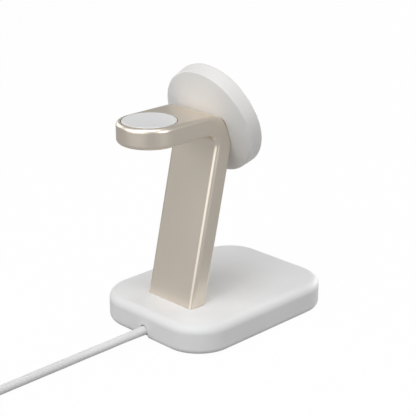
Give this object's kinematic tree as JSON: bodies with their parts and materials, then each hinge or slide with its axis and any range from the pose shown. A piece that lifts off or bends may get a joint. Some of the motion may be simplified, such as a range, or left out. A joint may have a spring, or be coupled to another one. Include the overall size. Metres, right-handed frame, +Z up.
{
  "type": "wireless charging stand",
  "caption": "Free-standing charging stand: flat base, bent metal arm with a round phone head in front and a watch puck in its rear end, captive cable.",
  "frame": {"origin": "centre of the base's underside, on the surface that the stand rests on", "axes": "+Z up, -Y towards the user (the phone face), +Y to the back, where the watch arm and the cable are"},
  "size_m": [0.1294, 0.2823, 0.1434],
  "materials": {
    "base_white": "fine matt moulded plastic",
    "plate_plastic": "moulded plastic",
    "foot_rubber": "matt rubber",
    "ballast_steel": "plain sheet steel",
    "screw_steel": "zinc-plated steel",
    "board": "glass-fibre board with a green mask",
    "copper": "enamelled copper wire",
    "ferrite": "sintered ferrite",
    "bush_rubber": "matt rubber",
    "lead_red": "insulated wire",
    "lead_black": "insulated lead",
    "arm_metal": "satin champagne anodised",
    "head_white": "fine matt moulded plastic",
    "soft_face": "soft matt silicone",
    "magnet": "nickel-plated magnet",
    "puck_white": "smooth plastic",
    "cord_grey": "smooth jacket",
    "plug_white": "smooth plastic",
    "plug_metal": "nickel-plated steel"
  },
  "bodies": {
    "root": {"base_shell": "base_white", "base_plate": "plate_plastic", "foot_pad": "foot_rubber", "ballast": "ballast_steel", "plate_screws": "screw_steel", "base_board": "board", "board_screws": "screw_steel", "pad_coil": "copper", "pad_ferrite": "ferrite", "cable_bush": "bush_rubber", "power_lead": "lead_red", "stand_arm": "arm_metal", "arm_bolts": "screw_steel", "phone_lead": "lead_black", "watch_lead": "lead_black", "head_shell": "head_white", "head_face": "soft_face", "magnet_ring": "magnet", "shunt_ring": "ballast_steel", "phone_coil": "copper", "phone_ferrite": "ferrite", "coil_tray": "plate_plastic", "head_board": "board", "head_screws": "screw_steel", "watch_cap": "puck_white", "watch_base": "plate_plastic", "watch_coil": "copper", "watch_ferrite": "ferrite", "watch_magnet": "magnet", "cable_run": "cord_grey", "cable_coil": "cord_grey", "cable_tail": "cord_grey", "plug_grip": "plug_white", "plug_shell": "plug_metal"}
  },
  "joints": []
}
